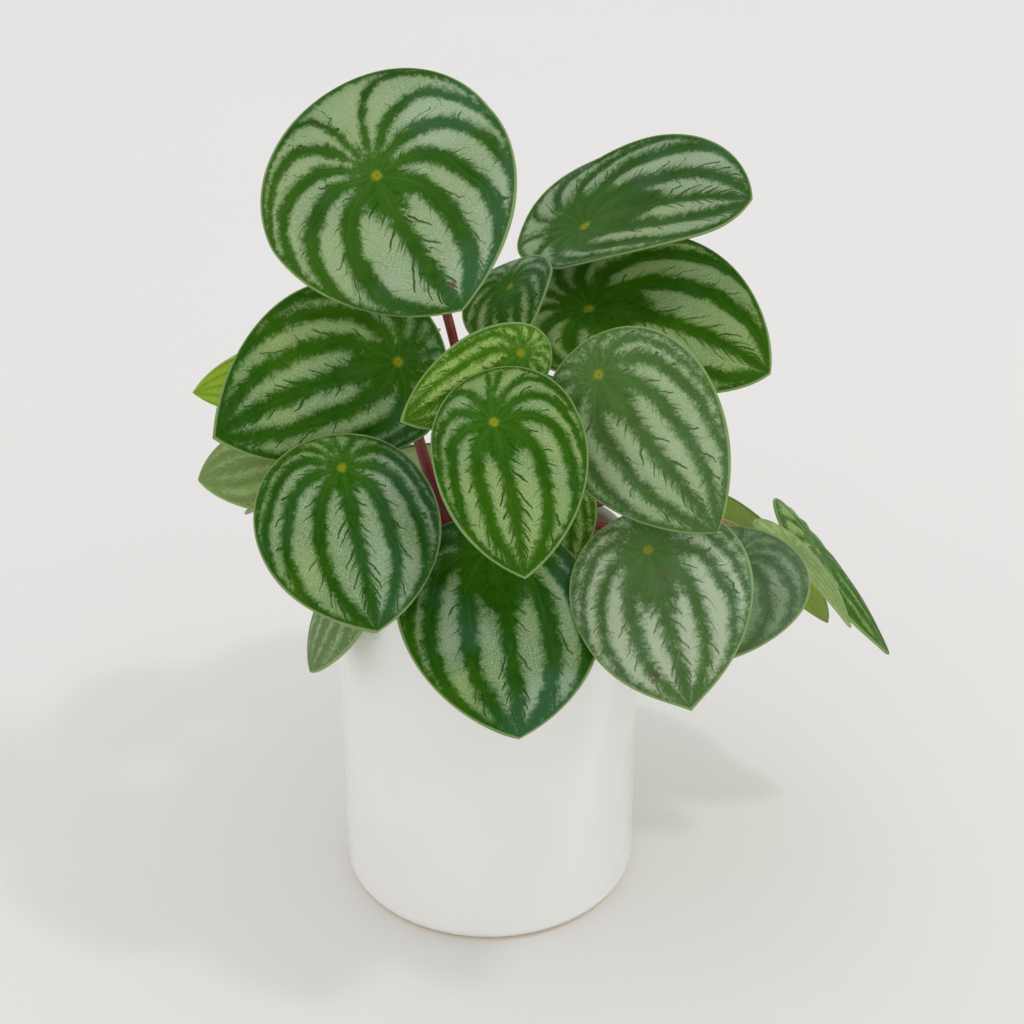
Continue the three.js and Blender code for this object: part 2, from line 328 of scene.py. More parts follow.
def crumb_shape():
    """The corners and faces of a plain crumb with twenty sides, one unit in radius."""
    golden = (1 + 5 ** 0.5) / 2
    corners = [(0, a, b * golden) for a in (-1, 1) for b in (-1, 1)]
    crumb = np.array([np.roll(c, turn) for turn in range(3) for c in corners]) / math.hypot(1, golden)
    count = len(crumb)
    pairs = [(i, j) for i in range(count) for j in range(count) if i != j]
    near = {(i, j) for i, j in pairs if np.linalg.norm(crumb[i] - crumb[j]) < 1.1}
    faces = []
    for i, j in near:
        for k in range(i + 1, count):
            if i < j and (j, k) in near and (k, i) in near:
                if np.dot(np.cross(crumb[j] - crumb[i], crumb[k] - crumb[i]), crumb[i]) > 0:
                    faces.append((i, j, k))
    return crumb, sorted(faces)


def soil_body():
    """The mix as one closed body: the fill with its crumbs sunk halfway into the top."""
    draw = np.random.default_rng(SOIL_SEED)
    top = [(r, float(soil_height(r))) for r in np.linspace(SOIL_RADIUS, CROWN_HOLE, SOIL_RINGS)]
    heel = arc(SOIL_RADIUS - SOIL_HEEL, SOIL_FLOOR + SOIL_HEEL, SOIL_HEEL, -90, 0)
    hole = CROWN_FOOT - GAP
    profile = [(0, SOIL_FLOOR), *heel, *top, (CROWN_HOLE, hole), (0, hole)]
    points, faces = turned(split_runs(profile, SOIL_STEP), SOIL_SIDES)
    on_top = (points[:, 2] > SOIL_LEVEL - 0.1) & (np.hypot(points[:, 0], points[:, 1]) < SOIL_RADIUS - 1)
    x, y = points[:, 0], points[:, 1]
    lumps = np.sin(x * 0.31 + 1.3 * np.sin(y * 0.23)) + np.sin(y * 0.37 + 1.7 * np.sin(x * 0.19))
    points[:, 2] += on_top * (0.55 * lumps + draw.uniform(-0.5, 0.5, len(points)))
    crumb, crumb_faces = crumb_shape()
    bodies, kinds, count = [points], [np.zeros(len(points))], len(points)
    for _ in range(CRUMBS):
        kind = draw.choice(list(CRUMB_SHARES), p=list(CRUMB_SHARES.values()))
        size = draw.uniform(*CRUMB_SIZES[kind])
        r = math.sqrt(draw.uniform(CROWN_HOLE ** 2, (SOIL_RADIUS - size) ** 2))
        angle = draw.uniform(0, 2 * math.pi)
        turn = np.linalg.qr(draw.normal(size=(3, 3)))[0]
        turn[:, 0] *= np.sign(np.linalg.det(turn))
        stretch = size * draw.uniform((0.6, 0.45, 0.35), (1.0, 0.8, 0.6))
        rough = crumb * draw.uniform(0.8, 1.15, (len(crumb), 1)) * stretch
        at = (r * math.cos(angle), r * math.sin(angle), float(soil_height(r)) + size * 0.12)
        bodies.append(rough @ turn.T + at)
        faces += [tuple(count + i for i in face) for face in crumb_faces]
        kinds.append(np.full(len(crumb), kind))
        count += len(crumb)
    return np.concatenate(bodies), faces, np.concatenate(kinds)


soil_points, soil_faces, soil_kinds = soil_body()
piece_of("potting_mix", soil_points, soil_faces, potting_mix(), "soil", "soil", kind=soil_kinds)

# The crown: the short fleshy stem that the stalks spring from, ringed with the scars of shed
# leaves. It is brown-red at the soil and greener towards the growing tip.
CROWN_RADIUS = 9
CROWN_TOP = 160
CROWN_TAPER = 4
CROWN_DOME = 1
CROWN_SIDES = 48
CROWN_RINGS = 60
SCAR_PITCH = 3.4  # height between the rings of leaf scars
SCAR_DEPTH = 0.025  # as a share of the radius
KNOB_DEPTH = 0.02


def crown_radius(height):
    """The crown's radius at a height: straight in the soil and drawn in above it."""
    return CROWN_RADIUS - CROWN_TAPER * np.maximum(0, (height - SOIL_LEVEL) / (CROWN_TOP - SOIL_LEVEL)) ** 2


def crown_bark():
    """Brown-red bark, flecked, and greener at the growing tip."""
    material, tree, shader = finish("crown bark")
    place = spot_mm(tree)
    height = axis_of(tree, place, "Z")
    fine = mottled(tree, place, 1.2, 3.0, 2.5)
    brown = fine.blend(seen(88, 40, 32), seen(128, 74, 52))
    green = fine.blend(seen(96, 84, 40), seen(130, 118, 62))
    rise = (height + mottled(tree, place, 5.0) * 8).ease(CROWN_TOP - 8, CROWN_TOP + 6)
    plug(tree, rise.blend(brown, green), shader.inputs["Base Color"])
    plug(tree, fine * 0.2 + 0.5, shader.inputs["Roughness"])
    raised(tree, shader, fine, 0.25)
    return material


crown_line = [(float(crown_radius(z)), z) for z in np.linspace(CROWN_FOOT, CROWN_TOP, CROWN_RINGS)]
crown_profile = [(0, CROWN_FOOT), *crown_line, (0, CROWN_TOP + CROWN_DOME)]
crown_points, crown_faces = turned(crown_profile, CROWN_SIDES)
around = np.arctan2(crown_points[:, 1], crown_points[:, 0])
rings = np.sin(2 * math.pi * (crown_points[:, 2] + 1.1 * np.sin(around * 2)) / SCAR_PITCH)
knobs = np.sin(around * 5 + crown_points[:, 2] * 0.9)
crown_points[:, :2] *= (1 - SCAR_DEPTH * (1 - rings) - KNOB_DEPTH * (1 - knobs))[:, None]
piece_of("crown_stem", crown_points, crown_faces, crown_bark(), "crown", "crown")

# The stalks: one fleshy round petiole a leaf, grown from the crown and let into the underside of
# its blade inside the margin. They are wine red, paler and green where they meet the blade.
TIER_HEIGHTS = (141, 147, 153)  # where the stalks spring from the crown
BLADE_THICK = 1.5
DIMPLE_DEPTH = 1.5
BENDS = (0.35, 0.45, 0.3)  # neck, rise and reach, where a row doesn't say them
STALK_SIDES = 24
STALK_STEPS = 56
STALK_TAPER = 0.16
STALK_FLARE = 0.45  # how much wider it grows where it joins the blade
FOOT_FLARE = 0.6  # the share of that at the crown
FLARE_SPAN = 3.5
INTO_CROWN = 4
INTO_BLADE = 0.9
STALK_SEED = 100
STALK_APART = 300  # so far apart lie their places in the skin's flecks

# One row a leaf: 1 to 12 from the top down, 13 to 19 beside and among them, 20 to 25 behind.
#   at, heading, droop, roll     the spot where the stalk meets the blade, and how the blade lies
#   length, width, base          the blade, and the share of its length behind that spot
#   arch, back, cup, bend, side  fall of tip, base and sides, midrib bowed, blade offset
#   taper, point, full, tip      slimness and sharpness of the tip, roundness, drip tip
#   stem, bow                    [azimuth, tier, lean, radius, neck, rise, reach], middle bent aside
#   veins, crowd, lean, sway     veins a side, crowded at the base, leant to a side, midrib's bow
#   age, bloom, painted_sheen    0 grown to 1 just unfolded, how silver its stripes, how much painted pale sheen lies over it
#   band, rib, deep              width of the dark bands, of the midrib's, of the dark round the spot
#                                and over the underside
#   painted_reflection_bias      how much more painted bluish reflection than the others, or less
LEAVES = [
    dict(at=(-39, -10, 310), heading=42, droop=39, roll=-42, length=95, width=92, base=0.39, taper=0.1,
         point=0.6, full=1, arch=5, cup=5, bend=-2, stem=(-40, 2, 4, 1.8, 0.35, 0.45, 0.2), bow=(10, 0, 0),
         veins=4.9, crowd=0.6, lean=-0.22, sway=4, bloom=1.15, painted_sheen=0.03, band=1.25, rib=0.62),
    dict(at=(37, 50, 266), heading=63, droop=-21, roll=-25, length=101, width=64, base=0.29, taper=-0.04,
         point=0.5, full=0.8, arch=4, back=-1, cup=-5, bend=-5, side=-3,
         stem=(158, 2, 24, 1.8, 1, 0.45, 0.3), bow=(-17, 20, 0), age=0.05, bloom=1.2, rib=0.7,
         deep=2, painted_sheen=0.06),
    dict(at=(39, 30, 240), heading=64, droop=5, roll=-22, length=100, width=80, base=0.25, taper=0.08,
         arch=8, cup=-2, bend=-5, side=-3, stem=(128, 1, 24, 1.9), age=0.25, veins=4.2, crowd=0.35,
         band=1.25, rib=0.7, deep=1.4, painted_reflection_bias=-0.5),
    dict(at=(8, 20, 254), heading=-3, droop=24, roll=-28, length=45, width=37, base=0.33, arch=4, cup=0,
         bend=2, stem=(-170, 2, 10, 1.3, 0, 0.5, 0.15), age=0.05, bloom=0.9, deep=1.7),
    dict(at=(-32, -20, 241), heading=-70, droop=15, roll=64, length=92, width=66, base=0.21, point=0.8,
         full=1, back=7, bend=4, side=2, stem=(-52, 1, 22, 2.4), bow=(-4, 0, 0), bloom=0.86,
         band=0.9, deep=1.1, painted_reflection_bias=0.05),
    dict(at=(13, -35, 252), heading=-62, droop=20, roll=66, length=62, width=31, base=0.2, side=-2,
         full=1, back=5, cup=5, stem=(22, 2, 16, 1.4), age=0.9, band=0.62, deep=0.6),
    dict(at=(3, -62, 239), heading=12, droop=32, roll=-9, length=83, width=54, base=0.28, full=1, bend=-1,
         side=-5, stem=(-2, 1, 30, 1.8), veins=4.4, lean=0.1, age=0.2, band=0.95, rib=0.75, deep=1.2,
         painted_reflection_bias=-0.25),
    dict(at=(40, -40, 246), heading=45, droop=36, roll=-51, length=85, width=60, base=0.16, taper=0.15,
         point=0.9, full=1, stem=(62, 1, 26, 1.9), bow=(5, 4, 0), age=0.25, bloom=1.3, deep=1.3,
         rib=0.8, painted_sheen=0.14),
    dict(at=(-52, -50, 214), heading=16, droop=36, roll=-9, length=78, width=66, base=0.19, side=4,
         taper=0.05, cup=6, full=1, stem=(-38, 0, 40, 1.9), age=0.05, band=1.05, rib=0.75,
         deep=0.75),
    dict(at=(1, -60, 185), heading=11, droop=33, roll=-1, length=88, width=72, base=0.18, full=1,
         taper=0.06, cup=6, side=2, bend=-2, stem=(-4, 0, 50, 2), veins=4.5, lean=0.08, age=0, bloom=0.87,
         band=1.15, rib=0.75, deep=1.7, painted_reflection_bias=0.12),
    dict(at=(58, -68, 190), heading=16, droop=37, roll=-21, length=76, width=65, base=0.22, full=1, tip=1,
         cup=5, side=-1, stem=(28, 0, 64, 1.9, 0.35, 0.5, 0.3), age=0.12, bloom=1.55, rib=0.9,
         deep=1.9, painted_sheen=0.18),
    dict(at=(92, -28, 161), heading=-28, droop=34, roll=-2, length=60, width=60, base=0.28, full=1,
         side=-4, stem=(64, 0, 50, 1.8, 0, 0.45, 0.3), age=0, bloom=0.92, painted_sheen=0.3, deep=0.8),
    dict(at=(122, 2, 147), heading=70, droop=38, roll=14, length=58, width=28, base=0.36, arch=8, cup=0,
         stem=(88, 1, 44, 1.6, 0.35, 0.5), bow=(0, -2, 0), age=0.9, bloom=1, painted_sheen=0.35),
    dict(at=(136, 32, 130), heading=76, droop=50, roll=10, length=84, width=40, base=0.34, arch=5, cup=4,
         stem=(96, 0, 40, 1.7, 0.7, 0.6), bow=(0, 4, 2), age=0.6, bloom=0.85, band=0.9),
    dict(at=(-62, 16, 222), heading=-80, droop=2, roll=-70, length=76, width=44, base=0.32,
         stem=(-108, 1, 34, 1.7), bow=(-4, 2, -9), age=1, bloom=0.75, band=0.8,
         deep=0.6),
    dict(at=(-73, -2, 193), heading=-78, droop=4, roll=24, length=60, width=46, base=0.35,
         stem=(-92, 0, 44, 1.7), age=0.8, bloom=1.3, painted_sheen=0.45),
    dict(at=(-54, -31, 153), heading=-60, droop=56, roll=0, length=56, width=34, base=0.3,
         stem=(-64, 0, 50, 1.5, 0.6), age=0.3, bloom=1.3, painted_sheen=0.35),
    dict(at=(25, -26, 193), heading=0, droop=48, roll=0, length=44, width=32, base=0.2,
         stem=(24, 1, 38, 1.5), age=0.95, bloom=0.95, band=0.85, deep=0.7),
    dict(at=(114, 68, 117), heading=68, droop=40, roll=50, length=76, width=60, base=0.36,
         stem=(124, 0, 40, 1.6, 0.35, 0.6), age=0.9, bloom=0.8, band=0.85,
         deep=1.8),
    dict(at=(-48, 52, 214), heading=-142, droop=30, roll=0, length=84, width=66, base=0.28,
         stem=(-148, 1, 20, 1.8), bow=(9, 0, 0), age=0.1),
    dict(at=(-6, 80, 190), heading=176, droop=30, roll=0, length=88, width=70, base=0.28,
         stem=(-176, 1, 32, 1.9), age=0),
    dict(at=(56, 58, 200), heading=138, droop=34, roll=0, length=82, width=66, base=0.28,
         stem=(146, 0, 34, 1.8), age=0.2),
    dict(at=(-66, 40, 172), heading=-120, droop=38, roll=0, length=74, width=60, base=0.28,
         stem=(-122, 0, 50, 1.8), age=0.05),
    dict(at=(-46, 78, 148), heading=-152, droop=44, roll=0, length=72, width=58, base=0.28,
         stem=(-158, 0, 36, 1.8, 0.35, 0.6), bow=(9, 0, 4), age=0.1),
    dict(at=(36, 88, 158), heading=160, droop=44, roll=0, length=72, width=60, base=0.28,
         stem=(176, 0, 52, 1.8), age=0),
]
# What holds where a row says nothing else.
COMMON = dict(taper=0.12, point=0.7, full=0.9, tip=0, arch=6, back=3, cup=4, bend=0, side=0, bow=(0, 0, 0),
              veins=4.7, crowd=0.2, lean=0, sway=0, age=0.1, bloom=1, painted_sheen=0, band=1, rib=1, deep=1,
              painted_reflection_bias=0)


def unit(vector):
    """The vector with a length of 1."""
    return vector / np.linalg.norm(vector)


def directions(leaf):
    """A blade's directions: across to its side, along to its tip, and out of its upper face."""
    heading, droop, roll = (math.radians(leaf[key]) for key in ("heading", "droop", "roll"))
    level = math.cos(droop)
    along = np.array([level * math.sin(heading), -level * math.cos(heading), -math.sin(droop)])
    flat = np.array([-math.cos(heading), -math.sin(heading), 0])
    across = flat * math.cos(roll) - np.cross(along, flat) * math.sin(roll)
    return across, along, np.cross(across, along)


def stalk_line(leaf, shares):
    """The middle line of a stalk, from the crown up to the underside of its blade."""
    azimuth, tier, lean, radius, *bends = leaf["stem"]
    neck, rise, reach = (*bends, *BENDS[len(bends):])
    a, tilt, height = math.radians(azimuth), math.radians(lean), TIER_HEIGHTS[tier]
    outward = np.array([math.sin(a), -math.cos(a), 0])
    start = outward * (crown_radius(height) + GAP + radius * math.cos(tilt)) + (0, 0, height)
    leaving = outward * math.sin(tilt) + (0, 0, math.cos(tilt))
    across, along, out = directions(leaf)
    meeting = unit(out + along * neck)
    end = leaf["at"] - out * (DIMPLE_DEPTH + BLADE_THICK + GAP) - meeting * radius * neck
    distance = np.linalg.norm(end - start)
    bow = np.array(leaf["bow"])
    second = start + leaving * distance * rise + bow
    third = end - meeting * distance * reach + bow
    t = shares[:, None]
    line = (1 - t) ** 3 * start + 3 * (1 - t) ** 2 * t * second
    line = line + 3 * (1 - t) * t ** 2 * third + t ** 3 * end
    root = start - leaving * INTO_CROWN - outward * INTO_CROWN / 2
    return np.vstack([root, line, end + meeting * INTO_BLADE])


def stalk(leaf, seed):
    """A stalk's points and faces, how far up it each point is, and its place on the skin."""
    line = stalk_line(leaf, np.linspace(0, 1, STALK_STEPS + 1))
    walked = np.concatenate([[0], np.cumsum(np.linalg.norm(np.diff(line, axis=0), axis=1))])
    tangents = np.gradient(line, walked, axis=0)
    side = np.cross(tangents[0], (0.3, 0.2, 1))
    angles = np.linspace(0, 2 * math.pi, STALK_SIDES, endpoint=False)
    draw = np.random.default_rng(STALK_SEED + seed)
    phase = draw.uniform(0, 2 * math.pi, 2)
    whole = walked[-1]
    points, skin = [], []
    for middle, tangent, s in zip(line, tangents, walked):
        side = unit(side - tangent * np.dot(side, tangent) / np.dot(tangent, tangent))
        other = unit(np.cross(tangent, side))
        flare = math.exp(-((whole - s) / FLARE_SPAN) ** 2)
        flare += FOOT_FLARE * math.exp(-(s / (2 * FLARE_SPAN)) ** 2)
        slim = 1.06 - STALK_TAPER * s / whole + 0.02 * math.sin(s / 7 + phase[0]) + STALK_FLARE * flare
        oval = 1 + 0.04 * np.sin(2 * angles + phase[1] + s / 30)
        radius = leaf["stem"][3] * slim * oval
        ring = np.outer(np.cos(angles) * radius, side) + np.outer(np.sin(angles) * radius, other)
        points += list(middle + ring)
        skin += [(2 * math.cos(a), 2 * math.sin(a), s + seed * STALK_APART) for a in angles]
    rings = len(line)
    last = (rings - 1) * STALK_SIDES
    faces = [tuple(range(STALK_SIDES))[::-1], tuple(last + k for k in range(STALK_SIDES))]
    for r in range(rings - 1):
        for k in range(STALK_SIDES):
            n = (k + 1) % STALK_SIDES
            a = r * STALK_SIDES
            faces.append((a + k, a + n, a + STALK_SIDES + n, a + STALK_SIDES + k))
    return np.array(points), faces, np.repeat(walked / whole, STALK_SIDES), np.array(skin)


def stretched(tree, place, x, y, z):
    """A place with each of its axes scaled, so that the flecks on it lie long or wide."""
    entries = {0: place, 1: (x, y, z)}
    return place_node(tree, "VectorMath", 0, entries, operation="MULTIPLY")


def stalk_skin():
    """Wine red skin streaked along the stalk, rosier and then green towards the blade."""
    material, tree, shader = finish("stalk skin", IOR=1.42, Coat_Weight=0.25, Coat_Roughness=0.18)
    along, skin, age = mark_of(tree, "along"), mark_of(tree, "skin", "Vector"), mark_of(tree, "age")
    streak = mottled(tree, stretched(tree, skin, 1, 1, 0.12), 0.9, 2.0, 2.2)
    cloud = mottled(tree, skin, 9.0, 2.0, 2.0)
    wine = streak.blend(seen(92, 14, 26), seen(138, 40, 46))
    rose = streak.blend(seen(122, 50, 42), seen(146, 84, 58))
    green = streak.blend(seen(118, 140, 62), seen(158, 176, 96))
    colour = (along + cloud * 0.3 + age * 0.25).ease(0.55, 1.05).blend(wine, rose)
    colour = (along + cloud * 0.12 + age * 0.3).ease(0.9, 1.08).blend(colour, green)
    plug(tree, colour, shader.inputs["Base Color"])
    plug(tree, streak * 0.12 + 0.36, shader.inputs["Roughness"])
    raised(tree, shader, streak, 0.08)
    return material


stalk_finish = stalk_skin()
for number, row in enumerate(LEAVES, 1):
    leaf = COMMON | row
    points, faces, along, skin = stalk(leaf, number)
    ages = np.full(len(points), leaf["age"])
    piece_of(f"stalk_{number:02d}", points, faces, stalk_finish, f"petiole_{number:02d}", "petiole",
             along=along, skin=skin, age=ages)

# The blades: thick shield-shaped leaves, one solid skin a leaf. Pale silver stripes lie puffed
# between sunken dark green veins, which run from the spot over the stalk to the tip in wide arcs.
MARGIN_THICK = 0.9
DIMPLE_RADIUS = 6
DRIP_TIP_SPAN = 0.3
SPOKES = 120
RINGS = (*np.linspace(0.025, 0.95, 37), 0.97, 0.985, 0.994)
GROWN_LENGTH = 90  # of a grown blade, which the stripes' sizes are given for
BLADE_SEED = 200
BLADE_APART = 37.0  # so far apart lie their places in the skin's flecks
PUFF = 0.8  # how high the silver stands above the veins
SPOT_FLAT = 5  # how far round the spot it stays flat
SPOT_RISE = 12  # and over how far it rises from there
MARGIN_FALL = 5  # how far from the margin it falls again
NARROW_STRIPE = 8  # stripes narrower than this are puffed up less
WAVE = 0.55  # how far the margin waves up and down
UNEVEN = 0.012  # and how far in and out, as a share
OUTLINE_POINTS = 720  # of the margin, for the distance from it
BEND = 0.33  # how much of a vein's bend is the streamline's, once it is well clear of the spot
EDGE_BEND = 0.14  # how much more along the margin
BASE_BEND = 0.4  # and how much more again round the base, where the veins run along the margin
BEND_SPAN = 0.5  # share of the length to the tip where it is clear
BASE_VEINS = 0.8  # more veins a side, which crowd round the base
FLOW_LIMIT = 0.9995  # of the round leaf's radius, so that the streamlines stay off its edge
RUN_LIMITS = (0.5, 40)  # the least and the most millimetres that a step among the veins takes
SKIN_KEYS = ("age", "bloom", "painted_sheen", "band", "rib", "deep", "painted_reflection_bias")  # the keys that the skin reads


def margin(leaf, turn):
    """The margin, turn radians round from the tip, as across and along from the stalk's spot."""
    t = np.arctan2(np.sin(turn), np.cos(turn))
    pointed = np.abs(t) / np.hypot(t, leaf["point"]) * math.hypot(1, 2 * leaf["point"] / math.pi)
    swell = np.sign(np.sin(t)) * np.abs(np.sin(t)) ** leaf["full"]
    across = leaf["width"] / 2 * swell * (1 - leaf["taper"] * np.cos(t)) * pointed
    along = leaf["length"] / 2 * (1 + np.cos(t)) - leaf["base"] * leaf["length"]
    across = across + leaf["side"] * (1 - np.cos(t)) / 2
    return across, along + leaf["tip"] * np.exp(-(t / DRIP_TIP_SPAN) ** 2)


def vein_field(leaf, x, y):
    """Where a place lies among the veins: the number of the vein through it, 0 on the midrib and
    negative to the left, and how far along that vein it is. A vein leaves the spot at its own angle
    and bends over to the tip, partly as a straight ray and partly as a streamline in a round leaf."""
    length, base = leaf["length"], leaf["base"]
    level = np.clip((y - (0.5 - base) * length) / (length / 2), -FLOW_LIMIT, FLOW_LIMIT)
    ahead = np.clip(y / ((1 - base) * length), 0, 1)
    sway = leaf["sway"] * 4 * ahead * (1 - ahead)
    axis = np.where(y < 0, leaf["side"] * (y / (base * length)) ** 2, sway)
    turn = np.linspace(0, math.pi, 181)
    edge_x, edge_y = margin(leaf, turn)
    left_x, left_y = margin(leaf, -turn)
    right = np.interp(y, edge_y[::-1], edge_x[::-1]) - axis
    left = axis - np.interp(y, left_y[::-1], left_x[::-1])
    half = np.maximum(np.where(x > axis, right, left), 0.3)
    beside = np.clip((x - axis) / half, -1, 1)
    z = level + 1j * beside * np.sqrt(1 - level ** 2)
    z *= np.minimum(1, FLOW_LIMIT / np.maximum(np.abs(z), 1e-6))
    spot = 2 * base - 1
    stream = np.angle(z - spot) + np.angle(1 - spot * z) - 2 * np.angle(1 - z)
    ray = np.arctan2(x - axis, y)
    share = np.clip(np.hypot(x, y) / ((1 - base) * length * BEND_SPAN), 0, 1)
    bend = BEND + EDGE_BEND * beside ** 4 + BASE_BEND * np.clip(0.5 - level, 0, 1) * np.abs(z) ** 6
    angle = ray + (stream - ray) * bend * share ** 2 * (3 - 2 * share)
    turned_by = np.abs(angle) / math.pi
    turned_by = turned_by * (1 + leaf["lean"] * np.sign(angle) * (1 - turned_by))
    number = leaf["veins"] * ((1 - leaf["crowd"]) * turned_by + leaf["crowd"] * turned_by ** 2)
    number = number + BASE_VEINS * turned_by ** 5
    way = np.log(np.maximum(np.abs(z - spot), 1e-3)) + np.log(np.abs(1 - spot * z))
    return np.sign(angle) * number, way - 2 * np.log(np.maximum(np.abs(1 - z), 0.02))


def run_of(leaf, which, x, y):
    """The millimetres that one step of the vein number (0) or of the way along a vein (1) takes."""
    step = 0.05
    rises = []
    for dx, dy in ((step, 0), (0, step)):
        rise = vein_field(leaf, x + dx, y + dy)[which] - vein_field(leaf, x - dx, y - dy)[which]
        if which == 0:
            whole = leaf["veins"] + BASE_VEINS
            rise = (rise + whole) % (2 * whole) - whole
        rises.append(rise)
    return np.clip(2 * step / np.maximum(np.hypot(*rises), 1e-4), *RUN_LIMITS)


def blade_faces():
    """The faces of every blade: its upper and lower skin, and the rounded rim that joins them."""
    count = 1 + len(RINGS) * SPOKES
    faces = []
    for k in range(SPOKES):
        n = (k + 1) % SPOKES
        faces += [(0, 1 + n, 1 + k), (count, count + 1 + k, count + 1 + n)]
        for r in range(len(RINGS) - 1):
            a = 1 + r * SPOKES
            quad = (a + k, a + n, a + SPOKES + n, a + SPOKES + k)
            faces += [quad, tuple(count + i for i in quad[::-1])]
        a, b = count - SPOKES, 2 * count
        faces += [(a + k, a + n, b + n, b + k), (b + k, b + n, a + count + n, a + count + k)]
    return faces


def blade(leaf, seed):
    """A blade's points and marks: a grid of rings and spokes round the spot, above and below."""
    across, along, out = directions(leaf)
    draw = np.random.default_rng(BLADE_SEED + seed)
    turns = np.linspace(0, 2 * math.pi, SPOKES, endpoint=False)
    waves = []
    for _ in range(2):
        swells = (draw.uniform(-1, 1) * np.sin(k * turns + draw.uniform(0, 6.3)) / k for k in range(2, 9))
        waves.append(sum(swells))
    edge_x, edge_y = margin(leaf, turns)
    uneven = 1 + UNEVEN * waves[0]
    shares = np.array([0, *RINGS, 1])
    x = np.outer(shares, edge_x * uneven)
    y = np.outer(shares, edge_y * uneven)
    forward = y > 0
    length, base = leaf["length"], leaf["base"]
    u = x / (leaf["width"] / 2)
    v = y / np.where(forward, (1 - base) * length, base * length)
    fall = np.where(forward, leaf["arch"], leaf["back"]) * v * v + leaf["cup"] * u * u
    away = np.hypot(x, y)
    bow = np.where(forward, leaf["bend"] * 4 * v * (1 - v), 0)
    number, way = vein_field(leaf, x, y)
    number = np.abs(number)
    pitch, span = (run_of(leaf, which, x, y) for which in (0, 1))
    size = length / GROWN_LENGTH
    outline = np.stack(margin(leaf, np.linspace(0, 2 * math.pi, OUTLINE_POINTS)), 1)
    spots = np.stack([x.ravel(), y.ravel()], 1)
    edge = np.array([np.min(np.hypot(*(outline - spot).T)) for spot in spots]).reshape(x.shape)
    fade = np.clip((away - SPOT_FLAT * size) / (SPOT_RISE * size), 0, 1)
    fade = fade * np.clip(edge / MARGIN_FALL, 0, 1) * np.clip(pitch / NARROW_STRIPE, 0, 1)
    puff = PUFF * size * np.sin(math.pi * number) ** 2 * fade
    lift = puff + WAVE * size * waves[1] * shares[:, None] ** 3
    height = lift - fall - DIMPLE_DEPTH * np.exp(-(away / DIMPLE_RADIUS) ** 2)
    top = leaf["at"] + (x + bow)[..., None] * across + y[..., None] * along + height[..., None] * out
    thick = MARGIN_THICK + (BLADE_THICK - MARGIN_THICK) * (1 - shares ** 2)
    low = top - thick[:, None, None] * out
    rim = (top[-1] + low[-1]) / 2
    points = np.vstack([top[0, :1], *top[1:-1], low[0, :1], *low[1:-1], rim])

    def both(values):
        """A mark over the whole skin, from its values on the grid of rings and spokes."""
        face = np.concatenate([values[0, :1], values[1:-1].ravel()])
        return np.concatenate([face, face, values[-1]])

    whole = len(points)
    skin = (whole - SPOKES) // 2
    under = np.repeat([0, 1, 0.5], [skin, skin, SPOKES])
    marks = {"vein": both(number), "flow": both(way), "pitch": both(pitch), "span": both(span),
             "edge": both(edge), "away": both(away), "under": under, "size": np.full(whole, size)}
    marks["place"] = np.stack([both(x), both(y), np.full(whole, seed * BLADE_APART)], 1)
    for key in SKIN_KEYS:
        marks[key] = np.full(whole, leaf[key])
    return points, marks


# The skin's dark bands and veinlets, in the millimetres of a grown blade, and its brown scars.
BAND_HALF = 3.0  # half the width of the midrib's dark band
BAND_LOSS = 0.4  # and how much less it is on each vein farther out
BAND_SLIM = 0.35  # the share that a band loses on its way to the margin
DARK_SPOT = 7  # how far the dark reaches round the spot
DARK_AHEAD = 8  # and how much farther along the midrib
USUAL_SPAN = 12.0  # the millimetres along a vein that one step of its flow mostly takes
VEINLETS = (  # apart, longest, thick, slant, on the outer side of a band only, seed, strength
    (8.0, 14.0, 0.45, 1.3, True, 0.0, 1.0),
    (5.0, 5.0, 0.3, 1.0, False, 900.0, 0.65),
    (1.6, 2.0, 0.28, 0.6, False, 500.0, 0.35),
)
SCARS = (  # leaf, across and along its blade, radius, strength
    (1, -1.5, 48.5, 1.8, 0.7),
    (1, 8.8, 44.5, 1.3, 0.4),
    (1, 9.2, -28.8, 1.2, 0.6),
    (7, 1.8, 26.2, 1.1, 0.5),
    (8, -4.2, 67.8, 1.5, 0.6),
    (11, 7.0, 43.0, 1.1, 0.6),
    (11, 8.6, 45.0, 1.5, 0.7),
    (11, 10.4, 47.0, 1.3, 0.6),
    (11, -2.0, 10.8, 4.5, 0.13),
)


def band_skin(streak, painted_reflection, far, age):
    """The green of the bands: brighter near the spot, yellower in parts, bluish in others under a painted
    reflection, lime when young.
    """
    green = streak.blend(seen(13, 57, 0), seen(47, 97, 5))
    green = (far.ease(26.0, 5.0) * 0.45).blend(green, seen(58, 110, 6))
    green = (painted_reflection.ease(0.4, -0.2) * 0.4).blend(green, seen(60, 104, 2))
    # Painted sheen: a bluish reflection of the light, painted on the dark bands away from the spot.
    painted_blue_sheen = painted_reflection.ease(0.45, 1.1) * far.ease(6.0, 22.0) * 0.45
    green = painted_blue_sheen.blend(green, seen(62, 104, 76))
    return age.blend(green, streak.blend(seen(40, 88, 0), seen(76, 124, 2)))


